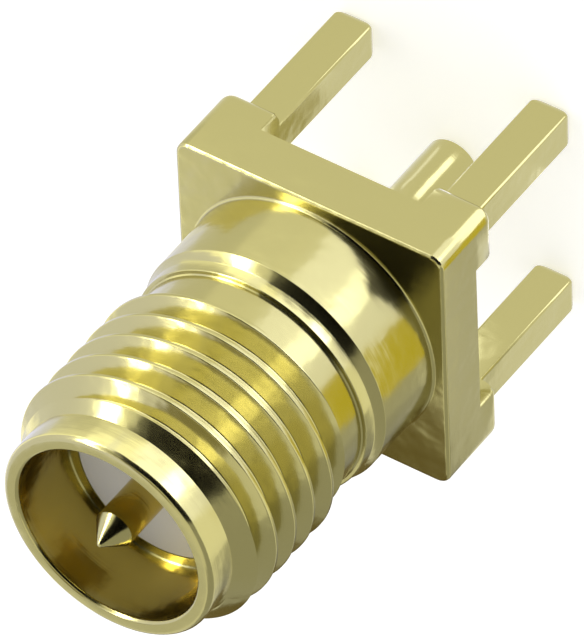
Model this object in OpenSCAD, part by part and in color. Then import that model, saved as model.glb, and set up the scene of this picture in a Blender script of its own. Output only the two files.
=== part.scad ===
// Coaxial board jack: a square flange on four solder legs, a threaded barrel
// with a plain nose, and a centre contact held in a PTFE insulator.
// Millimetres. Z runs along the jack's axis, out of its mouth. The origin is on
// the axis, in the plane of the four corner pads that sit on the board.

/* [Flange] */
// Side of the square flange
flange_w = 6.9; // [6.7:0.05:8]
// Thickness of the flange, from the floor of the slots to its front face
flange_t = 1.27; // [0.8:0.01:2.5]
// Radius of the four long corners
flange_corner_r = 0.22; // [0.05:0.01:0.35]
// Width of the broken edge round the front face
front_break = 0.07; // [0.02:0.01:0.2]

/* [Pads and legs] */
// Height of the corner pads, which is the depth of the crossed slots
pad_h = 0.7; // [0.4:0.01:1.2]
// Radius of the outer edges of the pads, next to the board
pad_edge_r = 0.25; // [0.05:0.01:0.3]
// Distance between the centres of neighbouring legs
leg_pitch = 5.08; // [4.9:0.01:5.4]
// Side of each square leg
leg_w = 0.94; // [0.7:0.01:1.1]
// Length of the legs below the pads
leg_len = 3.75; // [2:0.05:6]
// Radius of the edges at the free end of a leg
leg_tip_r = 0.2; // [0.05:0.01:0.3]

/* [Barrel] */
// Diameter of the plain barrel next to the flange
barrel_d = 6.26; // [6:0.01:6.6]
// Length of the plain barrel, from the flange to its bevel
barrel_len = 1.86; // [1:0.01:3]
// Radius of the fillet at the foot of the barrel
barrel_fillet_r = 0.08; // [0.02:0.01:0.15]
// Length of the bevel at the barrel's end
barrel_bevel_len = 0.23; // [0.05:0.01:0.5]
// Width of the low step between the bevel and the thread relief
step_w = 0.3; // [0.1:0.01:0.6]
// Diameter of that low step
step_d = 6; // [5.92:0.01:6.06]

/* [Thread] */
// Outside diameter of the thread
thread_d = 6.35; // [6.2:0.01:6.6]
// Distance from one turn of the thread to the next
thread_pitch = 0.7056; // [0.6:0.0001:0.9]
// Length of the thread, with the chamfer that leads into it
thread_len = 3.72; // [2:0.01:5]
// Depth of the thread
thread_depth = 0.43; // [0.2:0.01:0.45]
// Direction round the axis, in degrees, in which the thread's crest leaves the relief
thread_start_angle = 50; // [0:1:359]
// Length of the relief, the plain neck behind the thread
relief_len = 0.95; // [0.3:0.01:2]
// Diameter of the relief
relief_d = 5.76; // [5.6:0.01:5.9]

/* [Nose and mouth] */
// Diameter of the plain nose in front of the thread
nose_d = 5.4; // [5.2:0.01:5.6]
// Length of the plain nose, from the thread's chamfer to the mouth
nose_len = 0.78; // [0.4:0.01:2]
// Diameter of the bore that takes the mating plug
mouth_d = 4.6; // [4.4:0.01:4.8]
// Depth of that bore
mouth_depth = 1.88; // [1.2:0.01:2.5]
// Width of the bevel at the mouth
mouth_bevel = 0.1; // [0.02:0.01:0.15]
// Radius of the outer edge of the nose
nose_edge_r = 0.14; // [0.05:0.01:0.18]

/* [Insulator] */
// Diameter of the insulator
insulator_d = 4.1; // [3.8:0.01:4.3]
// Diameter of the insulator's neck, which passes through the lip at the back
insulator_neck_d = 3.4; // [2.6:0.01:3.6]
// Thickness of the body's lip that the insulator seats on
lip_t = 0.45; // [0.3:0.01:0.8]
// Play around the insulator and around the contact inside it
press_gap = 0.01; // [0.01:0.005:0.03]

/* [Centre contact] */
// Diameter of the mating pin
pin_d = 0.93; // [0.8:0.01:1]
// Distance that the tip of the pin stands out of the mouth
pin_reach = 0.3; // [-0.5:0.01:0.6]
// Length of the pin's conical tip
pin_cone = 0.56; // [0.3:0.01:0.8]
// Diameter of the blunt end of the tip
pin_tip_d = 0.16; // [0.05:0.01:0.3]
// Diameter of the solder tail
tail_d = 1.27; // [1.1:0.01:1.4]
// Height of the shoulder where the thicker shank, inside the insulator, starts
tail_shoulder = 0.17; // [0.16:0.01:0.25]
// Length of the solder tail below the pads
tail_len = 3.54; // [2:0.01:6]
// Radius of the edge at the tail's free end
tail_tip_r = 0.05; // [0.02:0.01:0.25]
// Diameter of the collar that the insulator grips
collar_d = 2.2; // [2:0.01:2.8]
// Length of the collar
collar_len = 1.0; // [0.5:0.01:2]

/* [Hidden] */

$fn = 96;
gold = "#c9b973";
bright_gold = "#d2c27c";
ptfe = "#e9e8e4";

eps = 0.5;              // how far cutting tools run past the faces they cut
arc_steps = 6;          // straight steps in a drawn quarter round
turn_steps = 48;        // straight steps in one turn of the thread

half_w = flange_w / 2;
leg_in = (leg_pitch - leg_w) / 2;              // inner face of the legs and pads
slot_w = 2 * leg_in;
flange_front = pad_h + flange_t;
barrel_end = flange_front + barrel_len;
step_z = barrel_end + barrel_bevel_len;
relief_z = step_z + step_w;
thread_start = relief_z + relief_len;
nose_z = thread_start + thread_len;
mouth_z = nose_z + nose_len;
seat_z = mouth_z - mouth_depth;                // floor of the mouth, front of the insulator
lip_z = pad_h + lip_t;                         // face of the lip that the insulator seats on
insulator_l = seat_z - lip_z;
collar_z = lip_z + (insulator_l - collar_len) / 2;
pin_tip_z = mouth_z + pin_reach;
shank_d = tail_d + 2 * tail_shoulder;

thread_r = thread_d / 2;
root_r = thread_r - thread_depth;
nose_r = nose_d / 2;
crest_flat = thread_pitch / 8;
flank_slope = tan(30);                         // a 60 degree thread
root_gap = thread_pitch - crest_flat - 2 * thread_depth * flank_slope;
foot_r = root_r - 0.4 * root_gap / flank_slope;     // the ridge's foot, sunk in the core
foot_w = crest_flat + 2 * (thread_r - foot_r) * flank_slope;

// Points on a quarter round about [cx, cy], from angle a0 to angle a1
function arc(cx, cy, r, a0, a1) =
    [for (i = [0 : arc_steps])
        let (a = a0 + (a1 - a0) * i / arc_steps) [cx + r * cos(a), cy + r * sin(a)]];

// Half section of the turned part of the body, from the axis outwards
turned_outline = concat(
    [[0, pad_h + flange_t / 2], [barrel_d / 2, pad_h + flange_t / 2]],
    arc(barrel_d / 2 + barrel_fillet_r, flange_front + barrel_fillet_r, barrel_fillet_r, 270, 180),
    [
        [barrel_d / 2, barrel_end],
        [step_d / 2, step_z],
        [step_d / 2, relief_z],
        [relief_d / 2, relief_z],
        [relief_d / 2, thread_start],
        [root_r, thread_start],
        [root_r, nose_z - max(0, root_r - nose_r)],
        [nose_r, nose_z]
    ],
    arc(nose_r - nose_edge_r, mouth_z - nose_edge_r, nose_edge_r, 0, 90),
    [[0, mouth_z]]
);

// A square of side w with round corners of radius r
module round_square(w, r) {
    difference() {
        square(w, center = true);
        for (x = [-1, 1], y = [-1, 1])
            translate([x * w / 2, y * w / 2]) corner_waste(r, x, y);
    }
}

// What a round of radius r takes off a square corner that points to [x, y]
module corner_waste(r, x, y) {
    difference() {
        square(2 * r, center = true);
        translate([-x * r, -y * r]) circle(r);
    }
}

// Side view of the flange and pads: round edges at the pads, broken ones in front
module flange_side() {
    difference() {
        translate([-half_w, 0]) square([flange_w, flange_front]);
        for (x = [-1, 1]) {
            translate([x * half_w, 0]) corner_waste(pad_edge_r, x, -1);
            translate([x * half_w, flange_front]) rotate(45)
                square(front_break * sqrt(2), center = true);
        }
    }
}

// Square flange with crossed slots milled into its back, which leave four pads
module flange() {
    difference() {
        intersection() {
            linear_extrude(flange_front) round_square(flange_w, flange_corner_r);
            for_both_sides() linear_extrude(flange_w + eps, center = true) flange_side();
        }
        for (a = [0, 90]) rotate(a)
            translate([-slot_w / 2, -half_w - eps, -eps])
                cube([slot_w, flange_w + 2 * eps, pad_h + eps]);
    }
}

// What a profile drawn upright leaves when it is swept along both X and Y
module for_both_sides() {
    intersection() {
        rotate([90, 0, 0]) children();
        rotate([90, 0, 90]) children();
    }
}

// Side view of a leg, with round edges at its free end
module leg_side() {
    difference() {
        translate([-leg_w / 2, -leg_len]) square([leg_w, leg_len + pad_h / 2]);
        for (x = [-1, 1])
            translate([x * leg_w / 2, -leg_len]) corner_waste(leg_tip_r, x, -1);
    }
}

module leg() {
    for_both_sides() linear_extrude(leg_w, center = true) leg_side();
}

// The thread's ridge, cut off square at the relief and at 45 degrees at the nose
module thread() {
    past_r = thread_r + eps;
    intersection() {
        ridge();
        rotate_extrude() polygon([
            [0, thread_start],
            [past_r, thread_start],
            [past_r, nose_z - past_r + nose_r],
            [nose_r, nose_z],
            [0, nose_z]
        ]);
    }
}

// A ridge on a right-hand helix, from a turn below the thread to a turn above it
module ridge() {
    steps = (ceil(thread_len / thread_pitch) + 2) * turn_steps;
    profile = [
        [foot_r, -foot_w / 2], [thread_r, -crest_flat / 2],
        [thread_r, crest_flat / 2], [foot_r, foot_w / 2]
    ];
    points = [
        for (i = [0 : steps], p = profile)
            let (turn = i / turn_steps - 1, a = thread_start_angle + 360 * turn)
                [p[0] * cos(a), p[0] * sin(a), thread_start + thread_pitch * turn + p[1]]
    ];
    walls = [
        for (i = [0 : steps - 1], j = [0 : 3])
            let (here = 4 * i, next = here + 4, k = (j + 1) % 4)
                each [[here + j, here + k, next + k], [here + j, next + k, next + j]]
    ];
    ends = [[3, 2, 1, 0], [for (j = [0 : 3]) 4 * steps + j]];
    polyhedron(points, concat(walls, ends));
}

// Everything that is bored into the body from its mouth and from its back
module body_bores() {
    translate([0, 0, seat_z]) cylinder(h = mouth_depth + eps, d = mouth_d);
    translate([0, 0, mouth_z - mouth_bevel])
        cylinder(h = 2 * mouth_bevel, d1 = mouth_d, d2 = mouth_d + 4 * mouth_bevel);
    translate([0, 0, lip_z])
        cylinder(h = insulator_l + eps, d = insulator_d + 2 * press_gap);
    translate([0, 0, pad_h - eps])
        cylinder(h = lip_t + 2 * eps, d = insulator_neck_d + 2 * press_gap);
}

module body() {
    color(gold) difference() {
        union() {
            flange();
            for (x = [-1, 1], y = [-1, 1])
                translate([x * leg_pitch / 2, y * leg_pitch / 2, 0]) leg();
            rotate_extrude() polygon(turned_outline);
            thread();
        }
        body_bores();
    }
}

// PTFE sleeve: it seats on the body's lip, and its neck ends flush with the slots' floor
module insulator() {
    color(ptfe) difference() {
        union() {
            translate([0, 0, lip_z]) cylinder(h = insulator_l, d = insulator_d);
            translate([0, 0, pad_h]) cylinder(h = lip_t + eps, d = insulator_neck_d);
        }
        translate([0, 0, pad_h - eps])
            cylinder(h = seat_z - pad_h + 2 * eps, d = shank_d + 2 * press_gap);
        translate([0, 0, collar_z])
            cylinder(h = collar_len, d = collar_d + 2 * press_gap);
    }
}

// Half section of the contact: solder tail, shank with its collar, mating pin
contact_outline = concat(
    [[0, -tail_len]],
    arc(tail_d / 2 - tail_tip_r, tail_tip_r - tail_len, tail_tip_r, 270, 360),
    [
        [tail_d / 2, pad_h],
        [shank_d / 2, pad_h],
        [shank_d / 2, collar_z],
        [collar_d / 2, collar_z],
        [collar_d / 2, collar_z + collar_len],
        [shank_d / 2, collar_z + collar_len],
        [shank_d / 2, seat_z],
        [pin_d / 2, seat_z],
        [pin_d / 2, pin_tip_z - pin_cone],
        [pin_tip_d / 2, pin_tip_z],
        [0, pin_tip_z]
    ]
);

module centre_contact() {
    color(bright_gold) rotate_extrude() polygon(contact_outline);
}

body();
insulator();
centre_contact();
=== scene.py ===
import math
import bmesh
import bpy
from mathutils import Matrix, Quaternion, Vector

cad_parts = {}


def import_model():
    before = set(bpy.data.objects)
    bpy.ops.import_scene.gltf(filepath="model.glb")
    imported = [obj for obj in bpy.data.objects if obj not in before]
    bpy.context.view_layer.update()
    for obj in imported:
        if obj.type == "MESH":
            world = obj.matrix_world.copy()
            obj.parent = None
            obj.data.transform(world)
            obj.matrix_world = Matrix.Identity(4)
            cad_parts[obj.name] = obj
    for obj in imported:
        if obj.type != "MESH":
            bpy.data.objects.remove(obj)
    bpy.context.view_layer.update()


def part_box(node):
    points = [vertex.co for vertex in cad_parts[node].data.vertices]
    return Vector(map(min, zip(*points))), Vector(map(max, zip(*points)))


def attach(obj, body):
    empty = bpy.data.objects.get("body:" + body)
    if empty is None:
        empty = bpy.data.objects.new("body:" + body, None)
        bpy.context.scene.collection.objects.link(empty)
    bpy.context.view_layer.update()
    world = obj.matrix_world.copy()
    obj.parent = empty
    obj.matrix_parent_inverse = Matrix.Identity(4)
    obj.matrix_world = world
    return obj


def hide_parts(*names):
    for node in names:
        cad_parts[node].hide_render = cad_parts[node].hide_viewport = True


# A coaxial board jack. One piece of turned and milled brass, plated with gold, makes the square
# flange, its four solder legs and the threaded barrel. A PTFE sleeve inside it holds the contact.

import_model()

MM = 0.001                     # the meshes are made in millimetres and scaled once, at the end
ROUND_STEPS = 144              # flats round a turned surface
LEG_EDGE_STEPS = 6             # flats round each edge of a leg

# ---- Sizes in millimetres ----
body_lo, body_hi = (Vector(corner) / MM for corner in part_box("body"))
contact_lo, contact_hi = (Vector(corner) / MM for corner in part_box("centre_contact"))
insulator_lo, insulator_hi = (Vector(corner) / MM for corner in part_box("insulator"))

# The pads on the back of the flange stand on z = 0, and the legs reach down from them.
half_w = body_hi.x             # half the side of the flange
leg_len = -body_lo.z
mouth_z = body_hi.z
slot_z = insulator_lo.z        # floor of the crossed slots, which the insulator ends flush with
seat_z = insulator_hi.z        # floor of the mouth
insulator_r = insulator_hi.x
pin_tip_z = contact_hi.z
tail_len = -contact_lo.z

flange_t = 1.27                # thickness of the flange between its slots and its front
flange_front = slot_z + flange_t
flange_corner_r = 0.34
front_break = 0.09
pad_edge_r = 0.25
leg_w = 0.94
leg_pitch = 5.08
leg_in = (leg_pitch - leg_w) / 2
leg_out = leg_in + leg_w
leg_edge_r = 0.06
leg_tip_r = 0.25
leg_tip_corner = 0.47          # how round the tip's corners become towards its end

barrel_r = 3.13
barrel_fillet_r = 0.08
barrel_len = 1.86
barrel_end = flange_front + barrel_len
bevel_len = 0.23               # from the barrel down to the step
step_r = 3.0
step_z = barrel_end + bevel_len
step_len = 0.3
relief_r = 2.88
relief_z = step_z + step_len
relief_len = 0.95
relief_end = relief_z + relief_len
thread_len = 3.72              # from the relief to the foot of the chamfer at the front
nose_r = 2.7
nose_edge_r = 0.14
nose_end = relief_end + thread_len
mouth_r = 2.3
mouth_edge_r = 0.1
edge_r = 0.03                  # a turned edge that is broken only by the plating

thread_r = 3.175
thread_pitch = 0.7056
thread_depth = 0.43
thread_start_angle = 50        # direction, in degrees, in which the crest leaves the relief
crest_flat = thread_pitch / 8
flank_h = thread_depth * math.tan(math.radians(30))
thread_round = 0.015           # how far the rounds of crest and root reach from the sharp corner

pin_r = 0.465
pin_cone = 0.56
pin_tip_r = 0.08
tail_r = 0.635
tail_tip_r = 0.05
neck_r = 1.7
lip_z = slot_z + 0.45


# ---- Making meshes ----
def arc(cx, cz, radius, start, end, steps=5):
    """Points (r, z) on an arc about (cx, cz), from one angle to another in degrees."""
    angles = [math.radians(start + (end - start) * i / steps) for i in range(steps + 1)]
    return [(cx + radius * math.cos(a), cz + radius * math.sin(a)) for a in angles]


def softened(points, cut, hold=0.015):
    """Points (r, z) whose corners give way to small arcs that start `cut` before them.

    Two more points, `hold` further off, keep the shading of the flats next to the arc flat.
    """
    made = [Vector(points[0])]
    for before, corner, after in zip(points, points[1:], points[2:]):
        corner = Vector(corner)
        back = (Vector(before) - corner).normalized()
        ahead = (Vector(after) - corner).normalized()
        middle = (back + ahead).normalized() * cut * math.tan((math.pi - back.angle(ahead)) / 4)
        made += [corner + back * (cut + hold), corner + back * cut, corner + middle,
                 corner + ahead * cut, corner + ahead * (cut + hold)]
    return made + [Vector(points[-1])]


def outline(bm, points, closed=True):
    """A chain of edges through points (r, z) in the XZ plane."""
    verts = [bm.verts.new((r, 0, z)) for r, z in points]
    pairs = list(zip(verts, verts[1:]))
    if closed:
        pairs.append((verts[-1], verts[0]))
    return verts, [bm.edges.new(pair) for pair in pairs]


def turned(name, points):
    """A solid turned round the Z axis from an outline that starts and ends on the axis or is a ring."""
    bm = bmesh.new()
    on_axis = points[0][0] == 0 and points[-1][0] == 0
    verts, edges = outline(bm, points, closed=not on_axis)
    bmesh.ops.spin(bm, geom=verts + edges, cent=(0, 0, 0), axis=(0, 0, 1), dvec=(0, 0, 0),
                   angle=math.tau, steps=ROUND_STEPS, use_merge=True)
    bmesh.ops.remove_doubles(bm, verts=bm.verts, dist=1e-5)
    bmesh.ops.recalc_face_normals(bm, faces=bm.faces)
    return as_object(bm, name)


def as_object(bm, name):
    """Makes a bmesh an object of the scene, and frees it."""
    mesh = bpy.data.meshes.new(name)
    bm.to_mesh(mesh)
    bm.free()
    obj = bpy.data.objects.new(name, mesh)
    bpy.context.scene.collection.objects.link(obj)
    return obj


def combine(obj, tool, operation):
    """Joins obj with tool, cuts it or keeps what they share, and uses the tool up."""
    step = obj.modifiers.new("combine", "BOOLEAN")
    step.operation = operation
    step.solver = "EXACT"
    step.object = tool
    made = obj.evaluated_get(bpy.context.evaluated_depsgraph_get())
    mesh = bpy.data.meshes.new_from_object(made)
    obj.modifiers.clear()
    obj.data = mesh
    bpy.data.objects.remove(tool)


def weld(obj):
    """Merges the points that joining and cutting left on one another, which closes hair-thin slits."""
    bm = bmesh.new()
    bm.from_mesh(obj.data)
    bmesh.ops.remove_doubles(bm, verts=bm.verts, dist=1e-5)
    bm.to_mesh(obj.data)
    bm.free()


def finish_piece(obj, material, replaced):
    """Scales a finished piece to metres, smooths its shading and hands it to the frame."""
    sharp = 30                     # edges that bend by more degrees than this stay crisp
    obj.data.transform(Matrix.Scale(MM, 4))
    obj.data.materials.clear()
    obj.data.materials.append(material)
    obj.data.polygons.foreach_set("use_smooth", [True] * len(obj.data.polygons))
    obj.data.polygons.foreach_set("material_index", [0] * len(obj.data.polygons))
    obj.data.set_sharp_from_angle(angle=math.radians(sharp))
    normals = obj.modifiers.new("even_shading", "WEIGHTED_NORMAL")
    normals.keep_sharp = True
    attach(obj, "root")
    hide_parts(replaced)


# ---- Flange, pads and legs ----
def push_out(bm, faces, distance):
    """Extrudes faces straight down."""
    made = bmesh.ops.extrude_face_region(bm, geom=faces)
    verts = [v for v in made["geom"] if isinstance(v, bmesh.types.BMVert)]
    bmesh.ops.translate(bm, verts=verts, vec=(0, 0, -distance))


def open_inside(bm):
    """Deletes the walls that extruding left inside, whose edges all join more than two faces."""
    walls = [f for f in bm.faces if all(len(e.link_faces) > 2 for e in f.edges)]
    bmesh.ops.delete(bm, geom=walls, context="FACES_ONLY")


def domed_tip(bm, face, steps=7):
    """Closes a leg with a round-edged tip whose corners grow rounder towards its end."""
    centre = face.calc_center_median()
    rim = list(face.edges)
    bmesh.ops.delete(bm, geom=[face], context="FACES_ONLY")
    for i in range(1, steps + 1):
        angle = math.radians(90 * i / steps)
        half = leg_w / 2 - leg_tip_r * (1 - math.cos(angle))
        corner = min(leg_edge_r + (leg_tip_corner - leg_edge_r) * (1 - math.cos(angle)), 0.99 * half)
        place = Matrix.Translation(centre - Vector((0, 0, leg_tip_r * math.sin(angle))))
        made = bmesh.ops.create_grid(bm, x_segments=1, y_segments=1, size=half, matrix=place)
        made = bmesh.ops.bevel(bm, geom=made["verts"], offset=corner, offset_type="OFFSET",
                               affect="VERTICES", segments=LEG_EDGE_STEPS, profile=0.5, material=-1)
        level = made["verts"][0].co.z
        face = next(f for f in bm.faces if all(abs(v.co.z - level) < 1e-6 for v in f.verts)
                    and (f.calc_center_median().xy - centre.xy).length < leg_w / 4)
        next_rim = list(face.edges)
        bmesh.ops.bridge_loops(bm, edges=rim + next_rim)
        if i < steps:
            bmesh.ops.delete(bm, geom=[face], context="FACES_ONLY")
        rim = next_rim


def round_edges(bm, edges, radius, segments):
    """Rounds edges with a number of flats."""
    bmesh.ops.bevel(bm, geom=edges, offset=radius, offset_type="OFFSET", affect="EDGES",
                    segments=segments, profile=0.5, material=-1)


def edges_at(bm, height, chosen):
    """Edges that lie at a height, between a level face and an upright one that chosen picks."""
    bm.normal_update()
    found = []
    for edge in bm.edges:
        level = all(abs(v.co.z - height) < 1e-4 for v in edge.verts)
        if not level or len(edge.link_faces) != 2:
            continue
        tilts = sorted(abs(f.normal.z) for f in edge.link_faces)
        if tilts[0] < 0.1 and tilts[1] > 0.9 and chosen(edge.verts[0].co, edge.verts[1].co):
            found.append(edge)
    return found


def upright_edges(bm, chosen):
    """Edges along Z whose ends are both picked by chosen."""
    return [e for e in bm.edges
            if (e.verts[0].co.xy - e.verts[1].co.xy).length < 1e-5
            and all(chosen(v.co) for v in e.verts)]


def flange_block():
    """Square flange with crossed slots in its back, four pads and a solder leg on each pad."""
    bm = bmesh.new()
    height = flange_front - slot_z
    size = Matrix.Diagonal((2 * half_w, 2 * half_w, height, 1))
    bmesh.ops.create_cube(bm, size=1, matrix=Matrix.Translation((0, 0, slot_z + height / 2)) @ size)
    for line in (-leg_out, -leg_in, leg_in, leg_out):
        for normal in (Vector((1, 0, 0)), Vector((0, 1, 0))):
            bmesh.ops.bisect_plane(bm, geom=bm.verts[:] + bm.edges[:] + bm.faces[:],
                                   plane_co=normal * line, plane_no=normal)
    bm.normal_update()
    pads = [f for f in bm.faces if f.normal.z < -0.5
            and min(abs(f.calc_center_median().x), abs(f.calc_center_median().y)) > leg_in]
    push_out(bm, pads, slot_z)
    bm.normal_update()
    legs = [f for f in bm.faces if f.normal.z < -0.5 and abs(f.calc_center_median().z) < 1e-4
            and max(abs(f.calc_center_median().x), abs(f.calc_center_median().y)) < leg_out]
    push_out(bm, legs, leg_len - leg_tip_r)
    bmesh.ops.dissolve_limit(bm, angle_limit=math.radians(1), verts=bm.verts, edges=bm.edges)

    def far(p):
        return max(abs(p.x), abs(p.y))

    def near(p):
        return min(abs(p.x), abs(p.y))

    hair = 1e-3
    flange_corners = upright_edges(bm, lambda p: near(p) > half_w - hair)
    round_edges(bm, flange_corners, flange_corner_r, 6)
    leg_corners = upright_edges(bm, lambda p: p.z < slot_z + hair and far(p) < leg_out + hair
                                and near(p) > leg_in - hair)
    round_edges(bm, leg_corners, leg_edge_r, LEG_EDGE_STEPS)
    slot_ends = upright_edges(bm, lambda p: p.z < slot_z + hair and far(p) > half_w - hair
                              and abs(near(p) - leg_in) < hair)
    round_edges(bm, slot_ends, leg_edge_r, 2)
    outer = half_w - flange_corner_r - hair
    pad_rims = edges_at(bm, 0, lambda a, b: far(a) > outer and far(b) > outer)
    round_edges(bm, pad_rims, pad_edge_r, 6)
    round_edges(bm, edges_at(bm, flange_front, lambda a, b: True), front_break, 3)
    bm.normal_update()
    for face in [f for f in bm.faces if f.normal.z < -0.5 and f.calc_center_median().z < -leg_len / 2]:
        domed_tip(bm, face)
    open_inside(bm)
    bmesh.ops.recalc_face_normals(bm, faces=bm.faces)
    return as_object(bm, "body")


# ---- Barrel, thread and nose ----
def thread_stock():
    """A long right-hand thread: one pitch of its profile, swept up a helix and capped."""
    bm = bmesh.new()
    root = thread_r - thread_depth
    start = relief_end - 2 * thread_pitch
    corners = [(root, -thread_pitch / 2), (root, -crest_flat / 2 - flank_h), (thread_r, -crest_flat / 2),
               (thread_r, crest_flat / 2), (root, crest_flat / 2 + flank_h), (root, thread_pitch / 2)]
    profile = softened([(r, start + z) for r, z in corners], thread_round)
    verts, edges = outline(bm, profile, closed=False)
    turn_to_start = Matrix.Rotation(math.radians(thread_start_angle), 3, "Z")
    bmesh.ops.rotate(bm, verts=verts, cent=(0, 0, 0), matrix=turn_to_start)
    turns = 9                      # more than the thread needs, as both ends are cut off
    rise = thread_pitch / ROUND_STEPS
    bmesh.ops.spin(bm, geom=verts + edges, cent=(0, 0, 0), axis=(0, 0, 1), dvec=(0, 0, rise),
                   angle=math.tau * turns, steps=turns * ROUND_STEPS)
    bmesh.ops.remove_doubles(bm, verts=bm.verts, dist=1e-4)
    for height, side in ((relief_end, 1), (nose_end + 0.3, -1)):
        cut = bmesh.ops.bisect_plane(bm, geom=bm.verts[:] + bm.edges[:] + bm.faces[:],
                                     plane_co=(0, 0, height), plane_no=(0, 0, side), clear_inner=True)
        rim = [e for e in cut["geom_cut"] if isinstance(e, bmesh.types.BMEdge)]
        bmesh.ops.edgeloop_fill(bm, edges=rim)
    bmesh.ops.recalc_face_normals(bm, faces=bm.faces)
    return as_object(bm, "thread")


def lead_in():
    """What the chamfer at the front of the thread leaves standing."""
    past = 0.3                     # how far it reaches past the thread at the back and outside
    return turned("lead_in", [
        (0, relief_end - past),
        (thread_r + past, relief_end - past),
        (thread_r + past, nose_end - (thread_r + past - nose_r)),
        (nose_r - past / 3, nose_end + past / 3),
        (0, nose_end + past / 3),
    ])


def barrel():
    """Barrel, relief and nose, without the thread."""
    core = 2.6                 # inside the thread, where nothing shows
    points = [(0, slot_z + 0.3), (barrel_r + barrel_fillet_r, slot_z + 0.3)]
    points += arc(barrel_r + barrel_fillet_r, flange_front + barrel_fillet_r, barrel_fillet_r, 270, 180)
    points += arc(barrel_r - edge_r, barrel_end - edge_r, edge_r, 0, 60, 3)
    points += [(step_r + edge_r / 2, step_z - edge_r), (step_r, step_z)]
    points += arc(step_r - edge_r, relief_z - edge_r, edge_r, 0, 90, 3)
    points += [(relief_r + edge_r, relief_z), (relief_r, relief_z + edge_r)]
    points += [(relief_r, relief_end), (core, relief_end), (core, nose_end - 0.2), (nose_r, nose_end - 0.2)]
    points += arc(nose_r - nose_edge_r, mouth_z - nose_edge_r, nose_edge_r, 0, 90, 6)
    points += [(0, mouth_z)]
    return turned("barrel", points)


def bores():
    """Everything that is bored out: mouth, insulator's bore and the neck at the back."""
    past = 1.0                     # how far it reaches past both ends
    points = [(0, slot_z - past), (neck_r, slot_z - past), (neck_r, lip_z), (insulator_r, lip_z),
              (insulator_r, seat_z), (mouth_r - edge_r, seat_z), (mouth_r, seat_z + edge_r)]
    points += arc(mouth_r + mouth_edge_r, mouth_z - mouth_edge_r, mouth_edge_r, 180, 110, 5)
    points += [(mouth_r + mouth_edge_r, mouth_z + past), (0, mouth_z + past)]
    return turned("bores", points)


# ---- Insulator and contact ----
def insulator():
    """Sleeve with a neck at the back, a bore for the contact and its outer edges broken."""
    soft = 0.04                    # break of its outer edges
    points = [(tail_r, slot_z), (neck_r - soft, slot_z), (neck_r, slot_z + soft), (neck_r, lip_z)]
    points += [(insulator_r, lip_z), (insulator_r, seat_z - soft), (insulator_r - soft, seat_z)]
    points += [(tail_r, seat_z)]
    return turned("insulator", points)


def centre_contact():
    """Round solder tail, shank in the sleeve and the thinner pin with its cone."""
    points = [(0, -tail_len)]
    points += arc(tail_r - tail_tip_r, tail_tip_r - tail_len, tail_tip_r, 270, 360)
    cone_z = pin_tip_z - pin_cone
    points += [(tail_r, seat_z), (pin_r, seat_z)]
    points += arc(pin_r - edge_r, cone_z - edge_r, edge_r, 0, 40, 3)
    points += arc(0, pin_tip_z - pin_tip_r, pin_tip_r, 35, 90, 4)[:-1]
    points += [(0, pin_tip_z)]
    return turned("centre_contact", points)


# ---- Materials ----
def colour(code):
    """Linear colour from an sRGB hex value."""
    parts = [int(code[i:i + 2], 16) / 255 for i in (1, 3, 5)]
    return [p / 12.92 if p <= 0.04045 else ((p + 0.055) / 1.055) ** 2.4 for p in parts] + [1]


def add(tree, kind, settings=None, **links):
    """Adds a node with its settings, sets sockets to values and links them to other sockets.

    A socket goes by its name, or by i and its number where names repeat.
    """
    node = tree.nodes.new(kind)
    for key, value in (settings or {}).items():
        setattr(node, key, value)
    for key, value in links.items():
        numbered = key[0] == "i" and key[1:].isdigit()
        socket = node.inputs[int(key[1:]) if numbered else key.replace("_", " ")]
        if isinstance(value, bpy.types.NodeSocket):
            tree.links.new(value, socket)
        else:
            socket.default_value = value
    return node


def new_material(name):
    """An empty node material and its tree."""
    material = bpy.data.materials.new(name)
    material.use_nodes = True
    material.node_tree.nodes.clear()
    return material, material.node_tree


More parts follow.
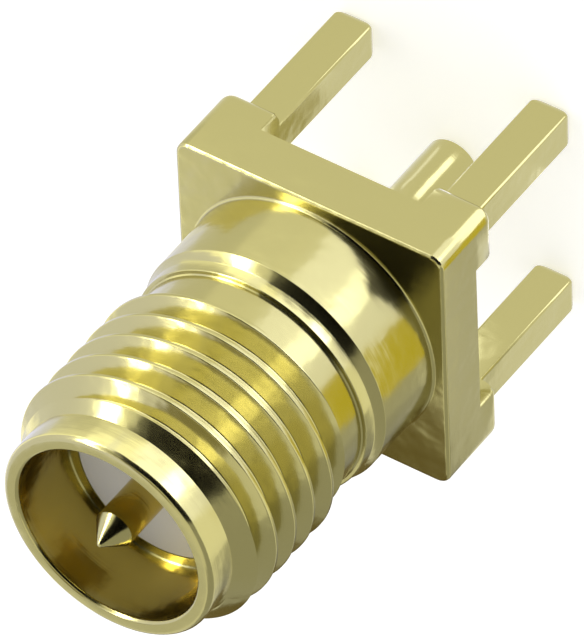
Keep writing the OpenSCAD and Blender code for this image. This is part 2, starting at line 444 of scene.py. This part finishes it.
def gold_plating(name, painted_reflection_tint, painted_reflection_r, painted_reflection_lo, painted_reflection_hi):
    """Bright gold plating on turned brass: a mirror with slight waves and faint tool marks.

    The waves make the mirrored edges of light and dark uneven, and the marks run round the axis.
    The colour is deeper within a given radius of the axis and between two heights. This is a painted
    reflection that stands in for the gold walls of a hollow mirroring one another.
    """
    mark_len, mark_w = 10 / 3, 1 / 12   # millimetres, wider than real tool marks so that they show
    wave = 10 / 11                      # millimetres from one swell of the polish to the next
    relief_h = 0.03
    material, tree = new_material(name)
    place = add(tree, "ShaderNodeTexCoord").outputs["Object"]
    fine = (1 / (mark_len * MM), 1 / (mark_len * MM), 1 / (mark_w * MM))
    stretch = add(tree, "ShaderNodeMapping", Vector=place, Scale=fine)
    marks = add(tree, "ShaderNodeTexNoise", Vector=stretch.outputs["Vector"], Scale=1.0, Detail=2.0,
                Roughness=0.6)
    waves = add(tree, "ShaderNodeTexNoise", Vector=place, Scale=1 / (wave * MM), Detail=2.0, Roughness=0.5)
    both = add(tree, "ShaderNodeMath", {"operation": "MULTIPLY_ADD"}, i0=marks.outputs["Fac"], i1=0.06,
               i2=waves.outputs["Fac"])
    relief = add(tree, "ShaderNodeBump", Strength=1.0, Distance=relief_h * MM, Height=both.outputs[0])
    axes = add(tree, "ShaderNodeSeparateXYZ", Vector=place)
    flat = add(tree, "ShaderNodeCombineXYZ", X=axes.outputs["X"], Y=axes.outputs["Y"])
    radius = add(tree, "ShaderNodeVectorMath", {"operation": "LENGTH"}, i0=flat.outputs["Vector"])
    # painted reflection: the mask of the hollow that gets the deeper gold
    inside = add(tree, "ShaderNodeMath", {"operation": "LESS_THAN"}, i0=radius.outputs["Value"],
                 i1=painted_reflection_r * MM)
    above = add(tree, "ShaderNodeMapRange", Value=axes.outputs["Z"], From_Min=painted_reflection_lo * MM,
                From_Max=(painted_reflection_lo + 0.1) * MM)
    below = add(tree, "ShaderNodeMapRange", Value=axes.outputs["Z"], From_Min=painted_reflection_hi * MM,
                From_Max=(painted_reflection_hi - 0.3) * MM)
    between = add(tree, "ShaderNodeMath", {"operation": "MULTIPLY"}, i0=above.outputs["Result"],
                  i1=below.outputs["Result"])
    painted_reflection_mask = add(tree, "ShaderNodeMath", {"operation": "MULTIPLY"}, i0=inside.outputs[0],
               i1=between.outputs[0])
    # painted reflection: the deeper gold is mixed in where the hollow's walls would mirror one another
    tint = add(tree, "ShaderNodeMix", {"data_type": "RGBA"}, i0=painted_reflection_mask.outputs[0], i6=colour("#bcb476"),
               i7=colour(painted_reflection_tint))
    metal = add(tree, "ShaderNodeBsdfPrincipled", Base_Color=tint.outputs[2], Metallic=1.0, Roughness=0.19,
                Normal=relief.outputs["Normal"])
    add(tree, "ShaderNodeOutputMaterial", Surface=metal.outputs["BSDF"])
    return material


def ptfe():
    """Machined natural PTFE: waxy, slightly translucent white."""
    material, tree = new_material("machined_ptfe")
    plastic = add(tree, "ShaderNodeBsdfPrincipled", Base_Color=colour("#e4e3df"), Roughness=0.45, IOR=1.35)
    add(tree, "ShaderNodeOutputMaterial", Surface=plastic.outputs["BSDF"])
    return material


# ---- The object ----
body = flange_block()
thread = thread_stock()
combine(thread, lead_in(), "INTERSECT")
shaft = barrel()
combine(shaft, thread, "UNION")
combine(body, shaft, "UNION")
combine(body, bores(), "DIFFERENCE")
weld(body)

# The mouth's bore and the contact's shank get a deeper gold, a painted reflection of the hollow's gold
# walls
turned_gold = gold_plating("gold_on_turned_brass", "#bda955", mouth_r + edge_r, seat_z, mouth_z)
contact_gold = gold_plating("gold_on_turned_contact", "#c2ae5a", pin_r + 0.01, seat_z,
                            pin_tip_z - pin_cone)
finish_piece(body, turned_gold, "body")
finish_piece(insulator(), ptfe(), "insulator")
finish_piece(centre_contact(), contact_gold, "centre_contact")


# ---- Floor, light and camera ----
def seen(tree):
    """1 for rays from the camera and for mirror rays, 0 for the soft light that they scatter."""
    path = add(tree, "ShaderNodeLightPath")
    either = add(tree, "ShaderNodeMath", {"operation": "MAXIMUM"}, i0=path.outputs["Is Camera Ray"],
                 i1=path.outputs["Is Glossy Ray"])
    either = add(tree, "ShaderNodeMath", {"operation": "MAXIMUM"}, i0=either.outputs[0],
                 i1=path.outputs["Is Transmission Ray"])
    return either.outputs[0]


def floor():
    """White floor at the legs' tips, which keeps the object's soft shadow."""
    bm = bmesh.new()
    bmesh.ops.create_grid(bm, x_segments=1, y_segments=1, size=1.5)
    bmesh.ops.translate(bm, verts=bm.verts, vec=(0, 0, -leg_len * MM))
    obj = as_object(bm, "floor")
    material, tree = new_material("white_floor")
    diffuse = add(tree, "ShaderNodeBsdfDiffuse", Color=colour("#f6f6f4"))
    lift = add(tree, "ShaderNodeMath", {"operation": "MULTIPLY"}, i0=seen(tree), i1=0.5)
    glow = add(tree, "ShaderNodeEmission", Color=(1, 1, 1, 1), Strength=lift.outputs[0])
    both = add(tree, "ShaderNodeAddShader", i0=diffuse.outputs["BSDF"], i1=glow.outputs["Emission"])
    add(tree, "ShaderNodeOutputMaterial", Surface=both.outputs["Shader"])
    obj.data.materials.append(material)


def light_only(bm, name, level, tint):
    """Makes a mesh, in millimetres above the floor, a glowing panel that shows only in mirrors.

    A level of 0 is black velvet and 1 is white paper. The panel throws no light or shadow.
    """
    place = Matrix.Scale(MM, 4) @ Matrix.Translation((0, 0, -leg_len))
    bmesh.ops.transform(bm, matrix=place, verts=bm.verts)
    obj = as_object(bm, name)
    material, tree = new_material(name)
    light = add(tree, "ShaderNodeEmission", Color=colour(tint), Strength=level)
    add(tree, "ShaderNodeOutputMaterial", Surface=light.outputs["Emission"])
    obj.data.materials.append(material)
    obj.visible_camera = False
    obj.visible_diffuse = False
    obj.visible_shadow = False


def panel(name, points, start, end, level, tint="#ffffff", lean=0.0):
    """A curved studio panel: its outline (r, height) turned from one azimuth to another.

    A panel that leans shifts round the object as it rises, by `lean` for each unit of height.
    """
    bm = bmesh.new()
    verts, edges = outline(bm, points, closed=False)
    turn_to_start = Matrix.Rotation(math.radians(start), 3, "Z")
    bmesh.ops.rotate(bm, verts=verts, cent=(0, 0, 0), matrix=turn_to_start)
    bmesh.ops.spin(bm, geom=verts + edges, cent=(0, 0, 0), axis=(0, 0, 1), dvec=(0, 0, 0),
                   angle=math.radians(end - start), steps=24)
    middle = math.radians((start + end) / 2)
    slant = Matrix.Identity(4)
    slant[0][2], slant[1][2] = -lean * math.sin(middle), lean * math.cos(middle)
    bmesh.ops.transform(bm, matrix=slant, verts=bm.verts)
    light_only(bm, name, level, tint)


def card(name, centre, size, level, tint="#ffffff", facing=None):
    """A flat card: level (x, y) near the floor, or upright (height, width) square to an azimuth."""
    bm = bmesh.new()
    place = Matrix.Translation(centre)
    if facing is not None:
        upright = Matrix.Rotation(math.radians(90), 4, "Y")
        place = place @ Matrix.Rotation(math.radians(facing), 4, "Z") @ upright
    place = place @ Matrix.Diagonal((size[0], size[1], 1, 1))
    bmesh.ops.create_grid(bm, x_segments=1, y_segments=1, size=0.5, matrix=place)
    light_only(bm, name, level, tint)


def world():
    """White all round, a little weaker in the light that falls on the object and the floor."""
    scene_world = bpy.data.worlds.new("studio")
    scene_world.use_nodes = True
    tree = scene_world.node_tree
    tree.nodes.clear()
    soft = 0.72
    level = add(tree, "ShaderNodeMapRange", Value=seen(tree), To_Min=soft, To_Max=1.0)
    sky = add(tree, "ShaderNodeBackground", Color=(1, 1, 1, 1), Strength=level.outputs["Result"])
    add(tree, "ShaderNodeOutputWorld", Surface=sky.outputs["Background"])
    bpy.context.scene.world = scene_world


def camera():
    """The camera looks down on the mouth from the side, with the picture rolled."""
    azimuth, elevation, roll = math.radians(60.14), math.radians(34.66), math.radians(-137.23)
    aim = Vector((-0.614, -0.585, 1.873))
    distance = 341.2
    data = bpy.data.cameras.new("camera")
    data.lens = 889.3
    data.clip_start, data.clip_end = 0.01, 10
    obj = bpy.data.objects.new("camera", data)
    level = Vector((math.cos(azimuth), math.sin(azimuth), 0)) * math.cos(elevation)
    back = level + Vector((0, 0, math.sin(elevation)))
    obj.rotation_mode = "QUATERNION"
    obj.rotation_quaternion = back.to_track_quat("Z", "Y") @ Quaternion((0, 0, 1), roll)
    obj.location = aim * MM + back * distance * MM
    bpy.context.scene.collection.objects.link(obj)
    bpy.context.scene.camera = obj


# ---- What the gold mirrors ----
FAR = 250                      # radius of the tall panels
COOL = "#e4e6ff"               # daylight of the softboxes
PALE = "#dadcff"               # a little bluer, from the window's side


def tall_panels():
    """Panels that stand round the object: black flags, a strip of light, a pale wall and greys."""
    panel("black_flag", [(40, 0.1), (FAR, 0.1), (FAR, 210)], 13, 103, 0.0)
    panel("black_flag_top", [(FAR, 210), (FAR, 430), (225, 470)], 2, 115, 0.0)
    panel("strip_light", [(FAR, 0.2), (155, 450)], 115, 129, 13.0, lean=0.38)
    panel("cool_wall", [(FAR - 10, 0.1), (FAR - 10, 430), (120, 600)], 142, 236, 1.5, tint=PALE)
    panel("strip_glow", [(24, 0.09), (FAR - 5, 0.09), (FAR - 5, 60)], 104, 114, 2.3, tint=COOL)
    panel("grey_card", [(60, 0.1), (FAR, 0.1), (FAR, 300)], -95, 13, 0.5)
    panel("ceiling", [(0.01, 640), (150, 640)], 0, 360, 0.32, tint="#fff2b4")
    panel("ceiling_edge", [(145, 640), (290, 640)], 98, 158, 0.32, tint="#fff2b4")
    panel("flange_light", [(14, 10.7), (14, 13.2)], 132, 228, 1.8)


def table_cards():
    """Rings of card on the table, mirrored by the barrel and by the flanks of the thread."""
    panel("light_table", [(0.01, 0.01), (80, 0.01)], 0, 360, 1.05)
    panel("pale_table", [(12.3, 0.06), (FAR, 0.06)], 178, 236, 1.5, tint=PALE)
    panel("gold_glow", [(12.3, 0.07), (18.5, 0.07)], -26, 14, 1.0, tint="#e8d838")
    panel("spark_card", [(51, 0.12), (74, 0.12)], 131, 143, 8.0)
    sectors = (                # first and last azimuth, level near the object and further out
        (-100, -62, 0.33, 0.9), (-62, -45, 0.45, 1.0), (-45, -26, 0.58, 1.05), (-26, 14, None, 1.35),
        (14, 37, 1.7, 2.3), (37, 57, 3.2, 7.0), (57, 88, 2.1, 3.2), (88, 104, 1.15, 2.3),
        (104, 135, 1.12, 2.3), (135, 178, 0.9, 1.4),
    )
    for start, end, near, far in sectors:
        tint = COOL if near and near > 1.5 else "#ffffff"
        if near:               # where there is none, the gold's own glow lies there
            panel("near_card", [(12.3, 0.06), (24, 0.06)], start, end, near, tint=tint)
        inner = 23.5 if near else 18.5
        outer = 70 if start < 100 else FAR
        panel("far_card", [(inner, 0.08), (outer, 0.08)], start, end, far, tint=tint)


def small_cards():
    """Cards close to the object, for the edges and sides of the flange, the legs and the tail."""
    yellow = "#eee05e"
    card("corner_card", (7.6, 7.6, 0.02), (9, 9), 3.3, tint=COOL)
    card("leg_card", (-1.7, 4.6, 0.03), (0.7, 3.1), 3.3, tint=COOL)
    card("side_leg_card", (3.4, -0.6, 0.03), (0.7, 2.7), 3.3, tint=COOL)
    card("tail_light", (0.44, 1.15, 0.75), (1.5, 0.42), 3.6, tint=COOL, facing=72)
    card("tail_glint", (-0.67, 0.92, 0.75), (1.5, 0.2), 2.0, tint=COOL, facing=149)
    panel("tail_card", [(2.9, 0.03), (5.8, 0.03)], 172, 262, 2.1)
    card("side_card", (6.95, -5.2, 0.02), (2.5, 13.4), 0.68)
    card("yellow_card", (9.5, 1.5, 0.03), (5, 5.5), 1.05, tint=yellow)
    card("yellow_card_end", (10.3, -2.45, 0.03), (4.0, 2.4), 0.95, tint=yellow)
    card("brown_card", (0.4, -10.7, 5), (16, 9), 1.0, tint="#776a41", facing=-120)
    card("rim_card", (-4.5, -7.8, 19.7), (5.5, 7), 0.78, facing=-120)


floor()
world()
camera()
tall_panels()
table_cards()
small_cards()
bpy.context.scene.view_settings.view_transform = "Standard"
